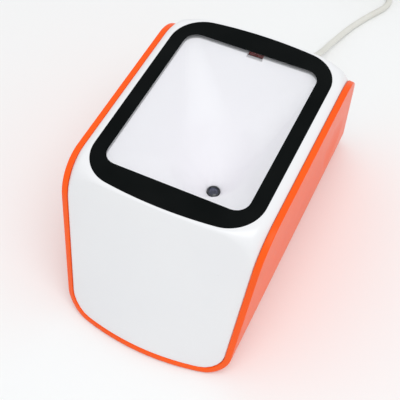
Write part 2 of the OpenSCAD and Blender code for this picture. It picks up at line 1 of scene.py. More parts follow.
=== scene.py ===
"""Flatbed barcode scanner: the looks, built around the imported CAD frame.

The CAD nodes keep their places and meshes. The outer shell, the housing, the
light well, the lens, the tie and the cable are made again here as fine
meshes, and every piece has a procedural material. Lengths are in millimetres
until to_m() turns them into Blender's metres.
"""

import bisect
import json
import math

import bmesh
import bpy
from mathutils import Matrix, Vector


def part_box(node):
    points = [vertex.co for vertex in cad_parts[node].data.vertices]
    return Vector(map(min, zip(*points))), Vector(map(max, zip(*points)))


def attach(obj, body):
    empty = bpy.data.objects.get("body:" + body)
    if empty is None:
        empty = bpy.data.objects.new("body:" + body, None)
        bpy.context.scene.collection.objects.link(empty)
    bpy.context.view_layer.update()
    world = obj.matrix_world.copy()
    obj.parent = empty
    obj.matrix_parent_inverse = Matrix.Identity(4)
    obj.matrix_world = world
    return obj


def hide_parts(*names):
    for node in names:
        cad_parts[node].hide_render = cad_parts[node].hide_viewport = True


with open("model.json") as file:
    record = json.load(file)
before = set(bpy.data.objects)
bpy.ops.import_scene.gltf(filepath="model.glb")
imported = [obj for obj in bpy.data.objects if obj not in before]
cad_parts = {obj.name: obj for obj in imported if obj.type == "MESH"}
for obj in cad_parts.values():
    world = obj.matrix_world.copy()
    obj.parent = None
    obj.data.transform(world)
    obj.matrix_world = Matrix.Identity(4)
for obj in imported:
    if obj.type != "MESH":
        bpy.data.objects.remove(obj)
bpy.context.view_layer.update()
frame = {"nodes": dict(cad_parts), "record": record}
MM = 0.001


def to_m(points):
    return [Vector(p) * MM for p in points]


def box_mm(node):
    """A node's lowest and highest corners, in millimetres."""
    low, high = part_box(node)
    return Vector(low) / MM, Vector(high) / MM


# ---------------------------------------------------------------- camera

CAMERA_AT = (92.51, -192.99, 325.1)
CAMERA_RIGHT = (0.8982, 0.4392, -0.0177)
CAMERA_FORWARD = (-0.263, 0.5049, -0.8221)
CAMERA_LENS = 70.56  # mm, on a sensor 36 mm wide


def make_camera():
    data = bpy.data.cameras.new("camera")
    data.lens = CAMERA_LENS
    data.sensor_width = 36
    data.clip_start = 0.01
    camera = bpy.data.objects.new("camera", data)
    bpy.context.scene.collection.objects.link(camera)
    back = -Vector(CAMERA_FORWARD).normalized()
    up = back.cross(Vector(CAMERA_RIGHT)).normalized()
    right = up.cross(back)
    turn = Matrix((right, up, back)).transposed()
    camera.matrix_world = Matrix.Translation(Vector(CAMERA_AT) * MM) @ turn.to_4x4()
    bpy.context.scene.camera = camera


make_camera()

# ---------------------------------------------------------------- mesh tools


def link_mesh(name, points, faces, material, body="scanner"):
    """An object from points in millimetres."""
    mesh = bpy.data.meshes.new(name)
    mesh.from_pydata(to_m(points), [], faces)
    return link_object(name, mesh, material, body)


def link_object(name, mesh, material, body="scanner"):
    mesh.validate()
    piece = bpy.data.objects.new(name, mesh)
    bpy.context.scene.collection.objects.link(piece)
    mesh.materials.clear()
    mesh.materials.append(material)
    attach(piece, body)
    return piece


def shade(piece, angle=35):
    """Smooth shading that keeps edges sharper than the angle, in degrees."""
    mesh = piece.data
    mesh.polygons.foreach_set("use_smooth", [True] * len(mesh.polygons))
    mesh.set_sharp_from_angle(angle=math.radians(angle))
    mesh.update()


def weld(piece, distance=0.002):
    """Merge points closer than a distance in millimetres, and turn faces outwards."""
    bm = bmesh.new()
    bm.from_mesh(piece.data)
    bmesh.ops.remove_doubles(bm, verts=bm.verts, dist=distance * MM)
    bmesh.ops.recalc_face_normals(bm, faces=bm.faces)
    bm.to_mesh(piece.data)
    bm.free()


def bake_modifiers(piece):
    """Put the result of the piece's modifiers into its mesh."""
    graph = bpy.context.evaluated_depsgraph_get()
    made = bpy.data.meshes.new_from_object(piece.evaluated_get(graph))
    piece.modifiers.clear()
    old = piece.data
    piece.data = made
    bpy.data.meshes.remove(old)


def cut(piece, cutters):
    """Cut holes with closed meshes, given as (points, faces) in millimetres."""
    made = []
    for k, (points, faces) in enumerate(cutters):
        mesh = bpy.data.meshes.new(f"cutter{k}")
        mesh.from_pydata(to_m(points), [], faces)
        cutter = bpy.data.objects.new(f"cutter{k}", mesh)
        bpy.context.scene.collection.objects.link(cutter)
        weld(cutter)
        modifier = piece.modifiers.new("cut", "BOOLEAN")
        modifier.object = cutter
        modifier.operation = "DIFFERENCE"
        modifier.solver = "EXACT"
        made.append(cutter)
    bake_modifiers(piece)
    for cutter in made:
        bpy.data.objects.remove(cutter)


def grid_faces(rows, columns, start=0, closed=False):
    """Quads of a grid of points stored row by row; closed joins each row's ends."""
    faces = []
    for i in range(rows - 1):
        for k in range(columns if closed else columns - 1):
            a = start + i * columns + k
            b = start + i * columns + (k + 1) % columns
            faces.append((a, b, b + columns, a + columns))
    return faces


def loft(rings):
    """Points and faces of a closed skin over rings of the same length, with capped ends."""
    count = len(rings[0])
    points = [p for ring in rings for p in ring]
    faces = grid_faces(len(rings), count, closed=True)
    faces.append(tuple(range(count))[::-1])
    faces.append(tuple(range(len(points) - count, len(points))))
    return points, faces


def turned(profile, centre, steps=96, axis="z"):
    """Points and faces of a shape of revolution from (radius, height) pairs."""
    rings = []
    for radius, height in profile:
        ring = []
        for k in range(steps):
            a = 2 * math.pi * k / steps
            x, y = radius * math.cos(a), radius * math.sin(a)
            p = Vector((x, y, height)) if axis == "z" else Vector((x, height, -y))
            ring.append(p + Vector(centre))
        rings.append(ring)
    return loft(rings)


def rounded_rectangle(half_w, half_l, r, corner_steps=12, side_steps=8):
    """(x, y) points of a rectangle with round corners, anticlockwise from the right side."""
    points = []
    for corner in range(4):
        sx = 1 if corner in (0, 3) else -1
        sy = 1 if corner < 2 else -1
        for k in range(corner_steps + 1):
            a = math.radians(90 * corner + 90 * k / corner_steps)
            points.append(
                (
                    sx * (half_w - r) + r * math.cos(a),
                    sy * (half_l - r) + r * math.sin(a),
                )
            )
    count = corner_steps + 1
    out = []
    for corner in range(4):
        out += points[corner * count : (corner + 1) * count]
        last = Vector(points[corner * count + corner_steps])
        first = Vector(points[(corner + 1) * count % len(points)])
        out += [tuple(last.lerp(first, k / side_steps)) for k in range(1, side_steps)]
    return out


# ---------------------------------------------------------------- cable

CABLE_D = 3.5
LEAD = [
    (8, 92, 17.5),
    (8, 98, 17.4),
    (7.9, 103, 16.8),
    (7.8, 107, 15.8),
    (7.7, 110.6, 14.3),
    (7.7, 114.2, 12.2),
    (8.1, 118.3, 10),
    (8.4, 122.4, 8.1),
    (8.9, 126.5, 6.6),
    (9.5, 131.7, 5.1),
    (10.4, 136.9, 4),
    (11.6, 142.2, 3.1),
    (13.2, 148.2, 2.4),
    (15.1, 154.2, 2),
    (17.5, 160, 1.8),
    (20, 165.3, 1.8),
    (22.6, 170.2, 1.8),
    (25.1, 174.6, 1.8),
    (27, 178.2, 1.8),
    (28, 181.3, 1.8),
    (28.4, 184.4, 1.8),
    (27.9, 187.4, 1.8),
    (26.4, 190, 1.8),
    (24, 191.8, 1.8),
    (21.1, 192.6, 1.8),
    (18, 192.7, 1.9),
    (14.5, 192.7, 2.1),
    (10.3, 192.6, 2.4),
    (6, 192.4, 2.5),
]
COIL_AT = (6, 215.5)
COIL_INNER_R = 16
COIL_STEP = 3.55  # between turns, beside and on each other
COIL_LOW = 2.5
COIL_COLUMNS = 3
COIL_TURNS = 11.25
TURN_POINTS = 24
TAIL_R = 8
USB_AXIS = (223.5, 18.7)  # y and z of the USB plug's axis
CABLE_END_X = -6.5  # inside the plug


def coil_place(turn):
    """Radius and height at a number of turns: out-in and in-out by turns, layer on layer."""
    last = COIL_COLUMNS - 1
    whole = int(turn)
    part = min(1, max(0, (turn - whole - 0.72) / 0.28))
    part = part * part * (3 - 2 * part)

    def slot_of(n):
        layer, column = divmod(n, COIL_COLUMNS)
        return (last - column if layer % 2 == 0 else column), layer

    (c0, l0), (c1, l1) = slot_of(whole), slot_of(whole + 1)
    column, layer = c0 + (c1 - c0) * part, l0 + (l1 - l0) * part
    sway = 0.12 * math.sin(5.3 * turn) * min(1, turn * 4)
    return COIL_INNER_R + COIL_STEP * column + sway, COIL_LOW + COIL_STEP * layer


def cable_route():
    """The centreline in millimetres: the lead, the coil's turns and the tail to the plug."""
    points = [Vector(p) for p in LEAD]
    for k in range(1, round(COIL_TURNS * TURN_POINTS) + 1):
        turn = k / TURN_POINTS
        radius, z = coil_place(turn)
        a = -math.pi / 2 - 2 * math.pi * turn
        points.append(
            Vector(
                (
                    COIL_AT[0] + radius * math.cos(a),
                    COIL_AT[1] + radius * math.sin(a),
                    z,
                )
            )
        )
    start = points[-1]
    rise = USB_AXIS[1] - start.z
    for k in range(1, 8):
        a = math.pi - math.radians(90 * k / 7)
        share = k / 8
        points.append(
            Vector(
                (
                    start.x + TAIL_R + TAIL_R * math.cos(a),
                    start.y + TAIL_R * math.sin(a),
                    start.z + rise * share * share * (3 - 2 * share),
                )
            )
        )
    points.append(Vector((CABLE_END_X, *USB_AXIS)))
    return points


def make_curve(name, points, radius, material):
    data = bpy.data.curves.new(name, "CURVE")
    data.dimensions = "3D"
    data.bevel_depth = radius * MM
    data.bevel_resolution = 5
    data.resolution_u = 3
    data.use_fill_caps = True
    spline = data.splines.new("BEZIER")
    spline.bezier_points.add(len(points) - 1)
    for point, place in zip(spline.bezier_points, to_m(points)):
        point.co = place
        point.handle_left_type = point.handle_right_type = "AUTO"
    piece = bpy.data.objects.new(name, data)
    bpy.context.scene.collection.objects.link(piece)
    data.materials.append(material)
    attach(piece, "scanner")
    return piece


# ---------------------------------------------------------------- materials


class Nodes:
    """Short ways to build a material's nodes."""

    def __init__(self, name):
        self.material = bpy.data.materials.new(name)
        self.material.use_nodes = True
        self.tree = self.material.node_tree
        self.tree.nodes.clear()
        self.output = self.add("ShaderNodeOutputMaterial")
        self.place = self.add("ShaderNodeTexCoord").outputs["Object"]

    def add(self, kind, **values):
        node = self.tree.nodes.new(kind)
        for key, value in values.items():
            setattr(node, key, value)
        return node

    def link(self, a, b):
        self.tree.links.new(a, b)

    def noise(self, scale, detail=3, rough=0.5, place=None):
        node = self.add("ShaderNodeTexNoise")
        node.inputs["Scale"].default_value = scale
        node.inputs["Detail"].default_value = detail
        node.inputs["Roughness"].default_value = rough
        self.link(place or self.place, node.inputs["Vector"])
        return node.outputs["Fac"]

    def ramp(self, source, *stops):
        node = self.add("ShaderNodeValToRGB")
        elements = node.color_ramp.elements
        while len(elements) < len(stops):
            elements.new(0.5)
        for element, (at, colour) in zip(elements, stops):
            element.position = at
            element.color = (*colour, 1)
        self.link(source, node.inputs["Fac"])
        return node.outputs["Color"]

    def map_range(self, source, low, high, start=0.0, end=1.0):
        node = self.add("ShaderNodeMapRange")
        node.inputs["From Min"].default_value = start
        node.inputs["From Max"].default_value = end
        node.inputs["To Min"].default_value = low
        node.inputs["To Max"].default_value = high
        self.link(source, node.inputs["Value"])
        return node.outputs["Result"]

    def math(self, operation, a, b=None):
        node = self.add("ShaderNodeMath", operation=operation)
        for socket, value in zip(node.inputs, (a, b)):
            if value is None:
                continue
            if isinstance(value, (int, float)):
                socket.default_value = value
            else:
                self.link(value, socket)
        return node.outputs[0]

    def bump(self, height, strength, distance):
        node = self.add("ShaderNodeBump")
        node.inputs["Strength"].default_value = strength
        node.inputs["Distance"].default_value = distance * MM
        self.link(height, node.inputs["Height"])
        return node.outputs["Normal"]

    def shader(self, colour, **sockets):
        """A Principled shader; plain values go on its own sockets."""
        node = self.add("ShaderNodeBsdfPrincipled")
        for name, value in {"Base Color": colour, **sockets}.items():
            socket = node.inputs[name.replace("_", " ")]
            if isinstance(value, bpy.types.NodeSocket):
                self.link(value, socket)
            elif isinstance(value, tuple) and len(value) == 3:
                socket.default_value = (*value, 1)
            else:
                socket.default_value = value
        return node

    def done(self, shader):
        self.link(shader.outputs[0], self.output.inputs["Surface"])
        return self.material


def plastic(name, colour, rough=0.4, grain=900, depth=0.01, vary=0.02, **sockets):
    """Moulded plastic: fine grain in the bump, a little cloudiness in colour and gloss."""
    n = Nodes(name)
    cloud = n.noise(35, 4)
    dark = tuple(c * (1 - vary) for c in colour)
    light = tuple(min(1, c * (1 + vary)) for c in colour)
    tint = n.ramp(cloud, (0.35, dark), (0.65, light))
    gloss = n.map_range(n.noise(220, 2), rough * 0.92, rough * 1.08)
    bump = n.bump(n.noise(grain, 2), 0.35, depth)
    return n.done(n.shader(tint, Roughness=gloss, Normal=bump, **sockets))


def metal(name, colour, rough=0.3, stretch=(1, 1, 18)):
    """Plated or brushed metal: fine lines in the gloss."""
    n = Nodes(name)
    mapping = n.add("ShaderNodeMapping")
    mapping.inputs["Scale"].default_value = stretch
    n.link(n.place, mapping.inputs["Vector"])
    lines = n.noise(300, 4, place=mapping.outputs["Vector"])
    gloss = n.map_range(lines, rough * 0.7, rough * 1.4)
    bump = n.bump(lines, 0.2, 0.004)
    tint = n.ramp(n.noise(60), (0.3, tuple(c * 0.94 for c in colour)), (0.7, colour))
    return n.done(n.shader(tint, Metallic=1.0, Roughness=gloss, Normal=bump))


def board(name, colour):
    """Circuit board: faint tracks and pads under the solder mask."""
    n = Nodes(name)
    cells = n.add("ShaderNodeTexVoronoi", feature="DISTANCE_TO_EDGE")
    cells.inputs["Scale"].default_value = 260
    n.link(n.place, cells.inputs["Vector"])
    tracks = n.map_range(cells.outputs["Distance"], 0, 1, 0.02, 0.06)
    tint = n.ramp(tracks, (0, tuple(min(1, c * 1.6 + 0.01) for c in colour)), (1, colour))
    bump = n.bump(tracks, 0.3, 0.03)
    return n.done(n.shader(tint, Roughness=0.35, Normal=bump))


def orange_material():
    """Satin orange shell, brighter where it is seen at a low angle."""
    n = Nodes("orange_shell")
    cloud = n.noise(30, 4)
    tint = n.ramp(cloud, (0.35, (0.95, 0.098, 0.0035)), (0.65, (1.0, 0.11, 0.004)))
    gloss = n.map_range(n.noise(240, 2), 0.3, 0.36)
    bump = n.bump(n.noise(1100, 2), 0.3, 0.006)
    return n.done(n.shader(tint, Roughness=gloss, Normal=bump, Specular_IOR_Level=0.22))


def white_material():
    """Semi-gloss white housing."""
    n = Nodes("white_case")
    tint = n.ramp(n.noise(25, 4), (0.35, (0.83, 0.83, 0.845)), (0.65, (0.845, 0.845, 0.855)))
    gloss = n.map_range(n.noise(200, 2), 0.26, 0.32)
    bump = n.bump(n.noise(1000, 2), 0.25, 0.004)
    return n.done(n.shader(tint, Roughness=gloss, Normal=bump))


def well_material():
    """Matt white with a faint cloudiness."""
    n = Nodes("white_well")
    tint = n.ramp(n.noise(22, 4), (0.35, (0.92, 0.9, 0.925)), (0.65, (0.932, 0.912, 0.937)))
    gloss = n.map_range(n.noise(200, 2), 0.5, 0.6)
    bump = n.bump(n.noise(900, 3), 0.3, 0.01)
    return n.done(n.shader(tint, Roughness=gloss, Normal=bump))


def black_print_material():
    """Black print: a fine dither of dots that barely shows, and little mirror."""
    n = Nodes("black_print")
    tint = n.ramp(n.noise(60, 3), (0.3, (0.004, 0.005, 0.005)), (0.7, (0.006, 0.007, 0.007)))
    gloss = n.map_range(n.noise(500, 2), 0.34, 0.4)
    return n.done(n.shader(tint, Roughness=gloss, Specular_IOR_Level=0.02))


def glass_material():
    """Clear pane: it lets light and sight through, and mirrors a little at low angles."""
    n = Nodes("window_glass")
    clear = n.add("ShaderNodeBsdfTransparent")
    clear.inputs["Color"].default_value = (0.985, 0.99, 0.99, 1)
    mirror = n.add("ShaderNodeBsdfGlossy")
    mirror.inputs["Color"].default_value = (0.9, 0.95, 0.95, 1)
    n.link(n.map_range(n.noise(40, 2), 0.015, 0.03), mirror.inputs["Roughness"])
    layer = n.add("ShaderNodeFresnel")
    layer.inputs["IOR"].default_value = 1.22
    # only the face turned to the viewer mirrors: sight lines are not bent in the
    # pane, so its far face would wrongly mirror everything at low angles
    side = n.add("ShaderNodeNewGeometry")
    outside = n.math("SUBTRACT", 1.0, side.outputs["Backfacing"])
    mix = n.add("ShaderNodeMixShader")
    n.link(n.math("MULTIPLY", layer.outputs["Fac"], outside), mix.inputs["Fac"])
    n.link(clear.outputs[0], mix.inputs[1])
    n.link(mirror.outputs[0], mix.inputs[2])
    return n.done(mix)


def lens_material():
    """Coated lens: deep blue-grey under a hard gloss, with a painted sheen that lightens the
    colour where the surface is seen at a low angle.
    """
    n = Nodes("lens_glass")
    centre = n.add("ShaderNodeLayerWeight")
    centre.inputs["Blend"].default_value = 0.4
    # painted sheen: the base colour goes from near black where the lens faces the viewer to a
    # lighter blue-grey where it is seen at a low angle
    tint = n.ramp(centre.outputs["Facing"], (0.0, (0.012, 0.014, 0.03)), (1.0, (0.1, 0.11, 0.2)))
    gloss = n.map_range(n.noise(600, 2), 0.03, 0.07)
    return n.done(n.shader(tint, Roughness=gloss, Coat_Weight=0.6))


def cable_material():
    """Soft white jacket, faintly warm, with slow waves in its gloss."""
    n = Nodes("cable_white")
    tint = n.ramp(n.noise(45, 4), (0.35, (0.70, 0.69, 0.63)), (0.65, (0.75, 0.745, 0.69)))
    gloss = n.map_range(n.noise(160, 2), 0.38, 0.5)
    bump = n.bump(n.noise(500, 3), 0.3, 0.02)
    return n.done(n.shader(tint, Roughness=gloss, Normal=bump))


def clear_plug_material():
    """Cloudy clear plastic of the modular plug."""
    n = Nodes("plug_clear")
    tint = n.ramp(n.noise(80, 3), (0.3, (0.72, 0.74, 0.74)), (0.7, (0.82, 0.84, 0.84)))
    gloss = n.map_range(n.noise(200, 2), 0.1, 0.2)
    return n.done(n.shader(tint, Roughness=gloss, Transmission_Weight=0.4, IOR=1.5))


MATERIALS = {
    "orange_shell": orange_material(),
    "white_case": white_material(),
    "window_glass": glass_material(),
    "black_print": black_print_material(),
    "black_gasket": plastic("black_gasket", (0.012, 0.012, 0.012), 0.8, 500, 0.05),
    "white_well": well_material(),
    "lens_black": plastic("lens_black", (0.022, 0.025, 0.032), 0.35, 1400, 0.01),
    "lens_glass": lens_material(),
    "chip_black": plastic("chip_black", (0.015, 0.015, 0.016), 0.5, 1200, 0.02),
    "board_green": board("board_green", (0.01, 0.12, 0.04)),
    "board_white": board("board_white", (0.7, 0.7, 0.68)),
    "brass": metal("brass", (0.75, 0.52, 0.2), 0.3),
    "steel": metal("steel", (0.6, 0.6, 0.6), 0.32),
    "flex_amber": plastic("flex_amber", (0.42, 0.17, 0.02), 0.3, 700, 0.01),
    "socket_cream": plastic("socket_cream", (0.66, 0.6, 0.45), 0.5),
    "led_cream": plastic("led_cream", (0.85, 0.78, 0.4), 0.35),
    "red_filter": plastic("red_filter", (0.16, 0.008, 0.008), 0.15, 900, 0.004),
    "base_grey": plastic("base_grey", (0.2, 0.2, 0.205), 0.55, 700, 0.03),
    "ballast_steel": metal("ballast_steel", (0.42, 0.43, 0.44), 0.45, (1, 14, 1)),
    "foot_rubber": plastic("foot_rubber", (0.03, 0.03, 0.03), 0.75, 600, 0.06),
    "label_silver": metal("label_silver", (0.58, 0.59, 0.6), 0.5, (14, 1, 1)),
    "socket_black": plastic("socket_black", (0.015, 0.015, 0.015), 0.45),
    "gold": metal("gold", (0.85, 0.6, 0.22), 0.2),
    "key_grey": plastic("key_grey", (0.16, 0.16, 0.165), 0.5, 800, 0.02),
    "plug_clear": clear_plug_material(),
    "cable_white": cable_material(),
    "tie_black": plastic("tie_black", (0.015, 0.015, 0.016), 0.6, 500, 0.05),
    "usb_white": plastic("usb_white", (0.72, 0.71, 0.66), 0.4, 700, 0.02),
    "usb_steel": metal("usb_steel", (0.68, 0.68, 0.69), 0.25, (16, 1, 1)),
    "usb_tongue": plastic("usb_tongue", (0.8, 0.8, 0.8), 0.4),
}

SLOTS = {s["node"]: s["material_slot"] for s in frame["record"]["subparts"]}


def paint_nodes():
    """Give each CAD node the finished material of its slot."""
    for name, piece in frame["nodes"].items():
        material = MATERIALS[SLOTS[name]]
        if not piece.material_slots:
            piece.data.materials.append(material)
        for holder in piece.material_slots:
            holder.material = material


paint_nodes()

# ---------------------------------------------------------------- the cable's pieces

TIE_ANGLE = -30
TIE_HALF_W = 2.0
TIE_T = 0.55


def make_tie():
    """A strap round the coil's section, with ribs across it."""
    low, high = box_mm("cable_coil")
    half_h = (high.z - low.z) / 2
    inner = (high.x - COIL_AT[0]) - COIL_STEP * COIL_COLUMNS
    half_w = (high.x - COIL_AT[0] - inner) / 2
    mid_r, mid_z = (high.x - COIL_AT[0] + inner) / 2, low.z + half_h
    outline = rounded_rectangle(half_w, half_h, 1.6, 8, 14)
    outer = rounded_rectangle(half_w + TIE_T, half_h + TIE_T, 1.6 + TIE_T, 8, 14)
    count = len(outline)
    a = math.radians(TIE_ANGLE)
    along = Vector((math.cos(a), math.sin(a), 0))
    across = Vector((-math.sin(a), math.cos(a), 0))
    centre = Vector((*COIL_AT, 0))

    def place(u, v, w):
        return centre + along * (mid_r + u) + across * v + Vector((0, 0, mid_z + w))

    points = []
    for k in range(count):
        (xi, zi), (xo, zo) = outline[k], outer[k]
        rib = 0.12 * (0.5 + 0.5 * math.cos(k * math.pi))
        ring = [
            (xi, zi, -1.0),
            (xi, zi, 1.0),
            (xo - (xo - xi) * 0.25, zo - (zo - zi) * 0.25, 1.0),
            (xo - (xo - xi) * rib, zo - (zo - zi) * rib, 0.85),
            (xo - (xo - xi) * rib, zo - (zo - zi) * rib, -0.85),
            (xo - (xo - xi) * 0.25, zo - (zo - zi) * 0.25, -1.0),
        ]
        points += [place(x, v * TIE_HALF_W, z) for x, z, v in ring]
    faces = []
    for k in range(count):
        for i in range(6):
            a0, b0 = k * 6 + i, k * 6 + (i + 1) % 6
            a1, b1 = (k + 1) % count * 6 + i, (k + 1) % count * 6 + (i + 1) % 6
            faces.append((a0, b0, b1, a1))
    tie = link_mesh("tie", points, faces, MATERIALS["tie_black"])
    weld(tie)
    shade(tie, 40)
    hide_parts("coil_tie")
    return tie


def make_cable():
    route = cable_route()
    cable = make_curve("cable", route, CABLE_D / 2, MATERIALS["cable_white"])
    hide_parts("cable_lead", "cable_coil")
    tie = make_tie()


make_cable()

# ---------------------------------------------------------------- the body's shape

# The same formulas as the CAD's: a tapered box whose ends lean in and bow out.
SHELL_LOW, SHELL_HIGH = box_mm("outer_shell")
PANEL_HALF_W, PANEL_TOP, FLOOR_Z = SHELL_HIGH.x, SHELL_HIGH.z, SHELL_LOW.z
HEIGHT = box_mm("window_border")[1].z
GLASS_HALF_W = box_mm("window_glass")[1].x
GLASS_APEX = (box_mm("window_glass")[1].y - box_mm("window_glass")[0].y) / 2
WINDOW_Y = (box_mm("window_glass")[1].y + box_mm("window_glass")[0].y) / 2
LEDGE_Z = box_mm("window_gasket")[0].z
WELL_WALL = 1.4
WELL_FLOOR = box_mm("light_well")[0].z + WELL_WALL
SIDE_TAPER = 0.073
END_HALF = 72.4
END_LEAN = 0.31
BOW_BASE = 6.6
SHELL_WALL = 2.8
SHELL_FLOOR = 2.2
SHELL_CORNER = 10.6
SHELL_INNER_CORNER = 9.2
LIP_PROUD = 0.6
GLASS_BOW_R = 190.0
GLASS_CORNER = 16.0
FIT = 0.15
RIM = 0.5
RIM_CORNER = 14.0
EASE_FROM = 33.0  # x from which the crown's corners are eased
EASE_SLOPES = (-0.79, -2.2)  # of the rim line, where the easing starts and ends
EDGE = 0.6
SHOULDER_X = PANEL_HALF_W - SHELL_WALL


def half_w(z):
    return PANEL_HALF_W - SIDE_TAPER * (PANEL_TOP - z)


def crown_z(x):
    start = GLASS_HALF_W + RIM
    t = (abs(x) - start) / (SHOULDER_X - start)
    return HEIGHT - (HEIGHT - PANEL_TOP) * min(1, max(0, t)) ** 1.6


def outline_y(x, grow, corner=GLASS_CORNER):
    """Half length of the glass's outline, grown by a distance, at x."""
    w, rc, rb = GLASS_HALF_W + grow, corner + grow, GLASS_BOW_R + grow
    bow_y = GLASS_APEX - GLASS_BOW_R
    corner_x = w - rc
    corner_y = bow_y + math.sqrt((rb - rc) ** 2 - corner_x**2)
    a = min(abs(x), w)
    if a < corner_x * rb / (rb - rc):
        return bow_y + math.sqrt(rb * rb - a * a)
    return corner_y + math.sqrt(max(0, rc * rc - (a - corner_x) ** 2))


def rim_y(x, side):
    """Half length of the flat top at x, eased into the shoulder without a crease."""
    a = abs(x)
    y = outline_y(a, RIM, RIM_CORNER)
    if EASE_FROM < a < SHOULDER_X:
        y0 = outline_y(EASE_FROM, RIM, RIM_CORNER)
        y1 = outline_y(SHOULDER_X, RIM, RIM_CORNER)
        run = SHOULDER_X - EASE_FROM
        t = (a - EASE_FROM) / run
        y = y0 + (y1 - y0) * t * t * (3 - 2 * t)
        y += run * (EASE_SLOPES[0] * t * (1 - t) ** 2 - EASE_SLOPES[1] * t * t * (1 - t))
    return y + side * WINDOW_Y


def end_line(z):
    return END_HALF - END_LEAN * z


def bow_crown(side):
    return rim_y(0, side) + EDGE - end_line(HEIGHT)


def end_y(q, z, side):
    bow = BOW_BASE + (bow_crown(side) - BOW_BASE) * z / HEIGHT
    return end_line(z) + bow * (1 - q * q)


def end_angle(q, side):
    """Angle of the end face from upright, in radians."""
    return math.atan(END_LEAN + (BOW_BASE - bow_crown(side)) / HEIGHT * (1 - q * q))


def crown_r(x, side):
    z = crown_z(x)
    q = x / half_w(z)
    angle = (math.pi / 2 - end_angle(q, side)) / 2
    return (end_y(q, z, side) - rim_y(x, side)) / math.tan(angle)


def knee_z(x, side):
    q = x / half_w(crown_z(x))
    return crown_z(x) - crown_r(x, side) * (1 - math.sin(end_angle(q, side)))


def skin_y(x, q, z, side):
    if z < knee_z(x, side):
        return end_y(q, z, side)
    r = crown_r(x, side)
    centre = crown_z(x) - r
    return rim_y(x, side) + math.sqrt(max(0, r * r - (z - centre) ** 2))


# ---------------------------------------------------------------- outer shell

LIP_R = 0.5
LIP_R_IN = 0.3
LIP_STEPS = 5
DIMPLE_R = 12.0  # half width
DIMPLE_LONG = 1.75  # length over width
DIMPLE_DEPTH = 1.4
DIMPLE_TILT = math.radians(28)
DIMPLE_AT = (38.0, 38.5)
DIMPLE_BLEND = 0.004  # softness of its edge, in square millimetres
PANEL_BEND = 19.0  # how far down the panel's finer rows reach
FOOT_R = 6.0
PLATE_CORNER = 2.0
ACROSS = 72  # faces between the front and rear lips


def shell_side():
    """Stations from the panel's top to the floor's middle: outer x, z and inner x, z."""
    stations = []
    for k in range(17):
        z = PANEL_TOP - PANEL_BEND * (1 - math.cos(math.radians(k * 90 / 16)))
        stations.append((half_w(z), z, half_w(z) - SHELL_WALL, z))
    bend = FLOOR_Z + SHELL_CORNER
    for k in range(1, 25):
        z = PANEL_TOP - PANEL_BEND - (PANEL_TOP - PANEL_BEND - bend) * k / 24
        stations.append((half_w(z), z, half_w(z) - SHELL_WALL, z))
    for k in range(1, 15):
        a = math.radians(k * 90 / 14)
        zo = FLOOR_Z + SHELL_CORNER * (1 - math.sin(a))
        zi = FLOOR_Z + SHELL_FLOOR + SHELL_INNER_CORNER * (1 - math.sin(a))
        stations.append(
            (
                half_w(zo) - SHELL_CORNER * (1 - math.cos(a)),
                zo,
                half_w(zi) - SHELL_WALL - SHELL_INNER_CORNER * (1 - math.cos(a)),
                zi,
            )
        )
    last = stations[-1]
    for k in range(1, 13):
        share = 1 - k / 12
        stations.append((last[0] * share, last[1], last[2] * share, last[3]))
    return stations


def shell_stations():
    """All the way round the U, from the left panel's top to the right panel's."""
    right = shell_side()
    left = [(-xo, zo, -xi, zi) for xo, zo, xi, zi in right]
    return left + right[-2::-1]


def dish(y, z):
    """Depth of the thumb dimple at a place on a side panel."""
    ball = (DIMPLE_R**2 + DIMPLE_DEPTH**2) / (2 * DIMPLE_DEPTH)
    dy, dz = y - DIMPLE_AT[0], z - DIMPLE_AT[1]
    across = dy * math.cos(DIMPLE_TILT) + dz * math.sin(DIMPLE_TILT)
    along = dz * math.cos(DIMPLE_TILT) - dy * math.sin(DIMPLE_TILT)
    rho2 = across**2 + (along / DIMPLE_LONG) ** 2
    depth = DIMPLE_DEPTH - rho2 / (2 * ball)
    return 0.5 * (depth + math.sqrt(depth * depth + DIMPLE_BLEND))


class ShellSheet:
    """The shell as a sheet: s runs round the U, y along it and e into its thickness."""

    def __init__(self):
        self.rows = []
        s, before = 0.0, None
        for station in shell_stations():
            if before:
                s += math.hypot(station[0] - before[0], station[1] - before[1])
            self.rows.append((s, *station, *self.lip(station, -1), *self.lip(station, 1)))
            before = station
        self.places = [row[0] for row in self.rows]

    @staticmethod
    def lip(station, side):
        """Y of the lip at the outer face and at the inner face."""
        xo, zo, xi, zi = station
        qo, qi = xo / half_w(zo), xi / half_w(zi)
        return (
            side * (skin_y(qo * PANEL_HALF_W, qo, zo, side) + LIP_PROUD),
            side * (skin_y(qi * PANEL_HALF_W, qi, zi, side) + LIP_PROUD),
        )

    def at(self, s, y, e):
        k = min(max(bisect.bisect_left(self.places, s), 1), len(self.rows) - 1)
        low, high = self.rows[k - 1], self.rows[k]
        f = (s - low[0]) / (high[0] - low[0])
        xo, zo, xi, zi, front, front_in, rear, rear_in = (
            a + (b - a) * f for a, b in zip(low[1:], high[1:])
        )
        w = (y - front) / (rear - front)
        t = e / SHELL_WALL
        more = (front_in - front) * (1 - w) + (rear_in - rear) * w
        return Vector((xo + (xi - xo) * t, y + more * t, zo + (zi - zo) * t))

    def edge(self):
        """The sheet's edge as a closed loop of (s, y), and each point's way inwards."""
        front = [(row[0], row[5]) for row in self.rows]
        rear = [(row[0], row[7]) for row in self.rows]
        across = [k / ACROSS for k in range(1, ACROSS)]
        right = [
            (front[-1][0], front[-1][1] + (rear[-1][1] - front[-1][1]) * f) for f in across
        ]
        left = [(0.0, rear[0][1] + (front[0][1] - rear[0][1]) * f) for f in across]
        loop = front + right + rear[::-1] + left
        inwards = []
        for k in range(len(loop)):
            a, b = loop[k - 1], loop[(k + 1) % len(loop)]
            length = math.hypot(b[0] - a[0], b[1] - a[1])
            inwards.append((-(b[1] - a[1]) / length, (b[0] - a[0]) / length))
        return loop, inwards


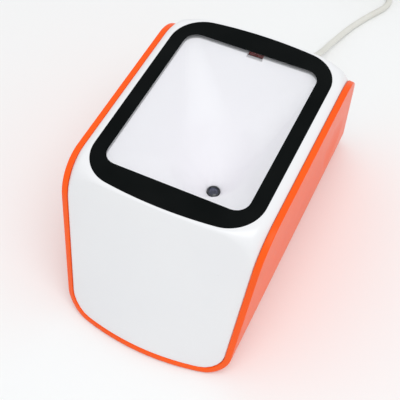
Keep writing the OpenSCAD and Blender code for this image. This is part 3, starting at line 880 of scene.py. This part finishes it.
def lip_profile():
    """The lip's section, as distances in from the edge and depths into the thickness."""
    outer, inner = [], []
    for k in range(LIP_STEPS + 1):
        a = math.radians(90 * k / LIP_STEPS)
        outer.append((LIP_R * (1 - math.sin(a)), LIP_R * (1 - math.cos(a))))
        inner.append((LIP_R_IN * (1 - math.sin(a)), SHELL_WALL - LIP_R_IN * (1 - math.cos(a))))
    return outer + inner[::-1]


def make_outer_shell():
    sheet = ShellSheet()
    loop, inwards = sheet.edge()
    count, rows = len(loop), len(sheet.rows)
    points, faces, rings = [], [], []
    for d, e in lip_profile():
        ring = [(s + d * n[0], y + d * n[1]) for (s, y), n in zip(loop, inwards)]
        rings.append(ring)
        points += [sheet.at(s, y, e) for s, y in ring]
    faces += grid_faces(len(rings), count, closed=True)
    for ring, first, e, turned_over in (
        (rings[0], 0, 0.0, False),
        (rings[-1], (len(rings) - 1) * count, SHELL_WALL, True),
    ):
        grid = []
        for j in range(rows):
            ends = j, 2 * rows + ACROSS - 2 - j
            row = [first + ends[0]]
            for k in range(1, ACROSS):
                if j == 0:
                    row.append(first + count - k)
                elif j == rows - 1:
                    row.append(first + rows + k - 1)
                else:
                    f = k / ACROSS
                    s = ring[ends[0]][0] * (1 - f) + ring[ends[1]][0] * f
                    y = ring[ends[0]][1] * (1 - f) + ring[ends[1]][1] * f
                    deep = e
                    if not turned_over:
                        flat = sheet.at(s, y, 0)
                        deep = dish(flat.y, flat.z)
                    row.append(len(points))
                    points.append(sheet.at(s, y, deep))
            grid.append(row + [first + ends[1]])
        for a, b in zip(grid, grid[1:]):
            for k in range(ACROSS):
                face = (a[k], a[k + 1], b[k + 1], b[k])
                faces.append(face if turned_over else face[::-1])
    shell = link_mesh("shell", points, faces, MATERIALS["orange_shell"])
    weld(shell)
    cutters = []
    feet = box_mm("rubber_feet")[1]
    hole_r = FOOT_R + FIT
    for sx in (-1, 1):
        for sy in (-1, 1):
            centre = (sx * (feet.x - FOOT_R), sy * (feet.y - FOOT_R), 0)
            cutters.append(turned([(hole_r, -1), (hole_r, feet.z)], centre, 64))
    plate = box_mm("rating_plate")[1]
    outline = rounded_rectangle(plate.x + FIT, plate.y + FIT, PLATE_CORNER)
    cutters.append(loft([[(x, y, z) for x, y in outline] for z in (-1, plate.z)]))
    cut(shell, cutters)
    shade(shell, 40)
    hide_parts("outer_shell")


make_outer_shell()

# ---------------------------------------------------------------- housing

HOUSING_LOW = box_mm("housing")[0].z
INNER_CORNER = SHELL_INNER_CORNER - FIT
HOUSING_WALL = 2.2
CHAMFER = 0.08
POCKET_FIT = 0.03  # gap between the glass and its pocket
SIDE_R = 0.4  # rounding of the white edges next to the shell
POCKET_W = GLASS_HALF_W + POCKET_FIT + CHAMFER
TOP_W = half_w(HEIGHT) - SHELL_WALL - FIT
CEILING_Z = LEDGE_Z - 2.4
TOP_STEPS = 24
WELL_OPENING = (35.8, 44.4, 10.3)  # half width, half length and corner radius
SOCKET_HALF_H = 8.2
SOCKET_Z = 19.8
SOCKET_GAP = 0.6
KEY_HOLE_R = 2.48


def outline_point(x, inset):
    """A point of the pocket's outline at x, moved inwards square to the outline."""
    grow = POCKET_FIT + CHAMFER
    w, rc, rb = GLASS_HALF_W + grow, GLASS_CORNER + grow, GLASS_BOW_R + grow
    y = outline_y(x, grow)
    corner_x = w - rc
    bow_y = GLASS_APEX - GLASS_BOW_R
    if abs(x) < corner_x * rb / (rb - rc):
        centre = Vector((0, bow_y))
    else:
        corner_y = bow_y + math.sqrt((rb - rc) ** 2 - corner_x**2)
        centre = Vector((math.copysign(corner_x, x), corner_y))
    out = (Vector((x, y)) - centre).normalized()
    return Vector((x, y)) - out * inset


def housing_columns():
    """Places of the housing's columns on the crown, and how far each is rounded back."""
    centre = [POCKET_W * math.sin(math.radians(k * 90 / 36)) for k in range(-36, 37)]
    edge = TOP_W - SIDE_R
    strip = [POCKET_W + (edge - POCKET_W) * k / 8 for k in range(1, 9)]
    right = [(x, 0.0) for x in strip]
    for k in range(1, 7):
        t = SIDE_R * (1 - math.sin(math.radians(15 * k)))
        right.append((TOP_W - t, SIDE_R - math.sqrt(SIDE_R**2 - (SIDE_R - t) ** 2)))
    left = [(-x, back) for x, back in right[::-1]]
    return left + [(x, 0.0) for x in centre] + right


def corner_rows(low, corner):
    """Heights up a rounded bottom corner, with how far each pulls the side in."""
    rows = []
    for k in range(6):
        a = math.radians(18 * k)
        rows.append((low + corner * (1 - math.cos(a)), corner * (1 - math.sin(a))))
    return rows


def end_rows(x_top, back, side):
    """Points up one column of an end's outer skin, from the bottom edge to the crown."""
    share = x_top / TOP_W
    points = []
    knee = knee_z(x_top, side)
    rows = corner_rows(HOUSING_LOW, INNER_CORNER)
    bend = HOUSING_LOW + INNER_CORNER
    rows += [(bend + (knee - bend) * k / 8, 0.0) for k in range(1, 9)]
    angle = end_angle(x_top / half_w(crown_z(x_top)), side)
    for z, pull in rows:
        x = share * (half_w(z) - SHELL_WALL - FIT - pull)
        y = end_y(x / half_w(z), z, side) - back * math.cos(angle)
        points.append(Vector((x, side * y, z - back * math.sin(angle))))
    r, top = crown_r(x_top, side), crown_z(x_top)
    for k in range(1, 11):
        a = angle + (math.pi / 2 - angle) * k / 10
        z = top - r + (r - back) * math.sin(a)
        y = rim_y(x_top, side) + (r - back) * math.cos(a)
        x = share * (half_w(z) - SHELL_WALL - FIT)
        points.append(Vector((x, side * y, z)))
    return points


def inner_rows(x_top, side):
    """Points up one column of an end's inner skin, from the bottom edge to the ceiling."""
    share = x_top / TOP_W
    rows = corner_rows(HOUSING_LOW, INNER_CORNER)
    bend = HOUSING_LOW + INNER_CORNER
    rows += [(bend + (CEILING_Z - bend) * k / 6, 0.0) for k in range(1, 7)]
    points = []
    for z, pull in rows:
        x = share * (half_w(z) - SHELL_WALL - FIT - HOUSING_WALL - pull)
        y = skin_y(x_top, x / half_w(z), z, side) - HOUSING_WALL - 0.2
        points.append(Vector((x, side * y, z)))
    return points


def make_housing():
    points, faces = [], []

    def keep(row):
        first = len(points)
        points.extend(row)
        return list(range(first, first + len(row)))

    def quads(a, b):
        for k in range(len(a) - 1):
            faces.append((a[k], a[k + 1], b[k + 1], b[k]))

    columns = housing_columns()
    last = len(columns) - 1
    outer = {side: [] for side in (-1, 1)}
    inner = {side: [] for side in (-1, 1)}
    for side in (-1, 1):
        for x_top, back in columns:
            outer[side].append(keep(end_rows(x_top, back, side)))
            inner[side].append(keep(inner_rows(x_top, side)))
        for skin in (outer[side], inner[side]):
            for a, b in zip(skin, skin[1:]):
                quads(a, b)
        for k in range(last):
            out_a, out_b = outer[side][k][0], outer[side][k + 1][0]
            in_a, in_b = inner[side][k][0], inner[side][k + 1][0]
            faces.append((out_a, out_b, in_b, in_a))
    # the pocket for the glass: rim, chamfer and wall, at the ends
    in_pocket = [k for k, (x, _) in enumerate(columns) if abs(x) <= POCKET_W + 1e-6]
    wall_foot = {}
    for side in (-1, 1):
        strips = []
        for k in in_pocket:
            x = columns[k][0]
            rim, wall = outline_point(x, 0), outline_point(x, CHAMFER)
            shift = side * WINDOW_Y
            row = [
                Vector((rim.x, side * (rim.y + shift), HEIGHT)),
                Vector((wall.x, side * (wall.y + shift), HEIGHT - CHAMFER)),
                Vector((wall.x, side * (wall.y + shift), LEDGE_Z)),
            ]
            strips.append([outer[side][k][-1]] + keep(row))
        for a, b in zip(strips, strips[1:]):
            quads(a, b)
        wall_foot[side] = [strip[-1] for strip in strips]
    # the flat strips beside the glass, and the pocket's long walls
    corner_y = outline_y(POCKET_W, POCKET_FIT + CHAMFER)
    side_foot = {}
    for sx in (-1, 1):
        strip = [k for k, (x, _) in enumerate(columns) if sx * x >= POCKET_W - 1e-6]
        tops = []
        for k in strip:
            x_top, back = columns[k]
            z = crown_z(x_top) - back
            x = x_top / TOP_W * (half_w(z) - SHELL_WALL - FIT)
            row = [
                Vector((x, WINDOW_Y - corner_y + 2 * corner_y * m / TOP_STEPS, z))
                for m in range(TOP_STEPS + 1)
            ]
            tops.append([outer[-1][k][-1]] + keep(row) + [outer[1][k][-1]])
        for a, b in zip(tops, tops[1:]):
            quads(a, b)
        rim = tops[0] if sx > 0 else tops[-1]
        rim = rim[1:-1]
        wall_x = sx * (POCKET_W - CHAMFER)
        upper = keep([Vector((wall_x, points[p].y, HEIGHT - CHAMFER)) for p in rim])
        foot = keep([Vector((wall_x, points[p].y, LEDGE_Z)) for p in rim])
        quads(rim, upper)
        quads(upper, foot)
        side_foot[sx] = foot
        # the outer side wall, hidden by the shell's panel
        end = strip[-1] if sx > 0 else strip[0]
        top = tops[-1] if sx > 0 else tops[0]
        front, rear = outer[-1][end], outer[1][end]
        for k in range(len(front) - 2):
            faces.append((front[k], front[k + 1], rear[k + 1], rear[k]))
        faces.append((front[-2], *top, rear[-2]))
        front_in, rear_in = inner[-1][end], inner[1][end]
        quads(front_in, rear_in)
        faces.append((front[0], rear[0], rear_in[0], front_in[0]))
    faces.append(
        (*wall_foot[-1], *side_foot[1][1:-1], *wall_foot[1][::-1], *side_foot[-1][-2:0:-1])
    )
    for k in range(last):
        faces.append(
            (inner[-1][k][-1], inner[-1][k + 1][-1], inner[1][k + 1][-1], inner[1][k][-1])
        )
    housing = link_mesh("case", points, faces, MATERIALS["white_case"])
    weld(housing)
    opening = rounded_rectangle(*WELL_OPENING)
    socket_low, socket_high = box_mm("cable_socket")
    middle = (socket_low.x + socket_high.x) / 2
    half = (socket_high.x - socket_low.x) / 2 + SOCKET_GAP
    hole = rounded_rectangle(half, SOCKET_HALF_H, 1.5)
    key_low, key_high = box_mm("reset_key")
    key_at = ((key_low.x + key_high.x) / 2, 0, (key_low.z + key_high.z) / 2)
    through = (CEILING_Z - 1, LEDGE_Z + 1)  # heights past both faces of the top
    rear = (60, 90)  # places in y inside and behind the rear wall
    cut(
        housing,
        [
            loft([[(x, y + WINDOW_Y, z) for x, y in opening] for z in through]),
            loft([[(middle + x, y, SOCKET_Z + z) for x, z in hole] for y in rear]),
            turned([(KEY_HOLE_R, y) for y in rear], key_at, 64, "y"),
        ],
    )
    shade(housing, 35)
    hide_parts("housing")


make_housing()

# ---------------------------------------------------------------- light well

# Half width, half length and corner radius; the top lies just past the clear window.
WELL_TOP = (31.9, 40.5, 6.4)
LENS_HOLE_R = 3.35
WELL_OUTER_BOTTOM = (8.0, 8.0, 7.9)
ROUND_FROM = 0.5  # share of the depth where the section has become round
HOLE_RISE = 0.1  # how far above the floor the cone meets the lens hole
CAMERA_Y = (box_mm("lens_barrel")[0].y + box_mm("lens_barrel")[1].y) / 2
FLANGE = (35.65, 44.25, 10.15)
FLANGE_T = 1.2
WELL_ROWS = 28


def well_ring(size, z):
    """A ring of the well, centred between the lens and the window by its height."""
    outline = rounded_rectangle(*size, corner_steps=14, side_steps=10)
    share = min(1, max(0, (z - WELL_FLOOR) / (LEDGE_Z - WELL_FLOOR)))
    middle = CAMERA_Y + (WINDOW_Y - CAMERA_Y) * share
    return [Vector((x, y + middle, z)) for x, y in outline]


def mix(a, b, f):
    return tuple(p + (q - p) * f for p, q in zip(a, b))


def make_well():
    depth = LEDGE_Z - WELL_FLOOR - HOLE_RISE
    rings = []
    for k in range(WELL_ROWS + 1):
        f = k / WELL_ROWS
        half = WELL_TOP[0] + (LENS_HOLE_R - WELL_TOP[0]) * f
        length = WELL_TOP[1] + (LENS_HOLE_R - WELL_TOP[1]) * f
        # corners are cones that widen downwards until they meet
        middle = (WELL_TOP[0] + LENS_HOLE_R) * ROUND_FROM
        radius = WELL_TOP[2] + (middle - WELL_TOP[2]) * min(1, f / ROUND_FROM)
        rings.append(well_ring((half, length, min(radius, half - 0.05)), LEDGE_Z - depth * f))
    low = WELL_FLOOR - WELL_WALL
    rings.append(well_ring((LENS_HOLE_R, LENS_HOLE_R, LENS_HOLE_R - 0.05), low))
    top = tuple(v + WELL_WALL for v in WELL_TOP)
    rings.append(well_ring(WELL_OUTER_BOTTOM, low))
    halfway = low + (LEDGE_Z - FLANGE_T - low) * 0.5
    rings.append(well_ring(mix(WELL_OUTER_BOTTOM, top, 0.5), halfway))
    rings.append(well_ring(top, LEDGE_Z - FLANGE_T))
    rings.append(well_ring(FLANGE, LEDGE_Z - FLANGE_T))
    rings.append(well_ring(FLANGE, LEDGE_Z))
    count = len(rings[0])
    points = [p for ring in rings for p in ring]
    faces = grid_faces(len(rings), count, closed=True)
    first = (len(rings) - 1) * count
    for k in range(count):
        n = (k + 1) % count
        faces.append((first + k, first + n, n, k))
    well = link_mesh("well", points, faces, MATERIALS["white_well"])
    weld(well)
    low_corner, high_corner = box_mm("sensor_window")
    x0, x1 = low_corner.x - FIT, high_corner.x + FIT
    z0, z1 = low_corner.z - FIT, LEDGE_Z + 1
    notch = [[(x, y, z) for x, z in ((x0, z0), (x1, z0), (x1, z1), (x0, z1))] for y in (40, 46)]
    cut(well, [loft(notch)])
    shade(well, 30)
    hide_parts("light_well")


make_well()

# ---------------------------------------------------------------- lens


def make_lens():
    low, high = box_mm("lens_barrel")
    top = high.z
    centre = (0, CAMERA_Y, 0)
    barrel = [
        (2.25, low.z),
        (3.05, low.z),
        (3.1, low.z + 0.05),
        (3.1, top - 0.22),
        (3.02, top - 0.06),
        (2.9, top),
        (2.62, top),
        (2.56, top - 0.06),
        (2.54, top - 0.3),
        (2.4, top - 0.34),
        (2.38, top - 0.5),
        (2.25, top - 0.55),
    ]
    points, faces = turned(barrel + [barrel[0]], centre)
    ring = link_mesh("lens_ring", points, faces[:-2], MATERIALS["lens_black"])
    weld(ring)
    shade(ring, 30)
    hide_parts("lens_barrel")
    dome_r, rise = 2.24, 0.42
    ball = (dome_r**2 + rise**2) / (2 * rise)
    dome_low = top - 2.2
    dome = [(0.01, dome_low), (dome_r, dome_low)]
    for k in range(17):
        a = math.asin(dome_r / ball) * (1 - k / 16)
        dome.append((max(0.01, ball * math.sin(a)), top - 0.62 + rise - ball + ball * math.cos(a)))
    points, faces = turned(dome, centre)
    lens = link_mesh("lens_dome", points, faces, MATERIALS["lens_glass"])
    weld(lens)
    shade(lens, 30)
    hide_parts("lens_glass")


make_lens()

# ---------------------------------------------------------------- floor and light


def make_floor():
    size = 3.0
    mesh = bpy.data.meshes.new("floor")
    corners = [(-size, -size, 0), (size, -size, 0), (size, size, 0), (-size, size, 0)]
    mesh.from_pydata(corners, [], [(0, 1, 2, 3)])
    floor = bpy.data.objects.new("floor", mesh)
    bpy.context.scene.collection.objects.link(floor)
    n = Nodes("floor")
    tint = n.ramp(n.noise(3, 2), (0.3, (0.895, 0.9, 0.895)), (0.7, (0.905, 0.91, 0.905)))
    mesh.materials.append(n.done(n.shader(tint, Roughness=0.6, Specular_IOR_Level=0.2)))


def area_light(name, place, target, size, power, colour=(1, 1, 1)):
    data = bpy.data.lights.new(name, "AREA")
    data.shape = "DISK"
    data.size = size
    data.energy = power
    data.color = colour
    light = bpy.data.objects.new(name, data)
    bpy.context.scene.collection.objects.link(light)
    light.location = place
    way = Vector(target) - Vector(place)
    light.rotation_euler = way.to_track_quat("-Z", "Y").to_euler()


def make_light():
    world = bpy.data.worlds.new("world")
    bpy.context.scene.world = world
    world.use_nodes = True
    back = world.node_tree.nodes["Background"]
    back.inputs["Color"].default_value = (0.97, 0.985, 1.0, 1)
    back.inputs["Strength"].default_value = 0.77
    area_light("overhead", (0.3, -0.25, 1.2), (0, 0, 0.03), 1.0, 5.8)
    bpy.context.scene.view_settings.view_transform = "Standard"


make_floor()
make_light()
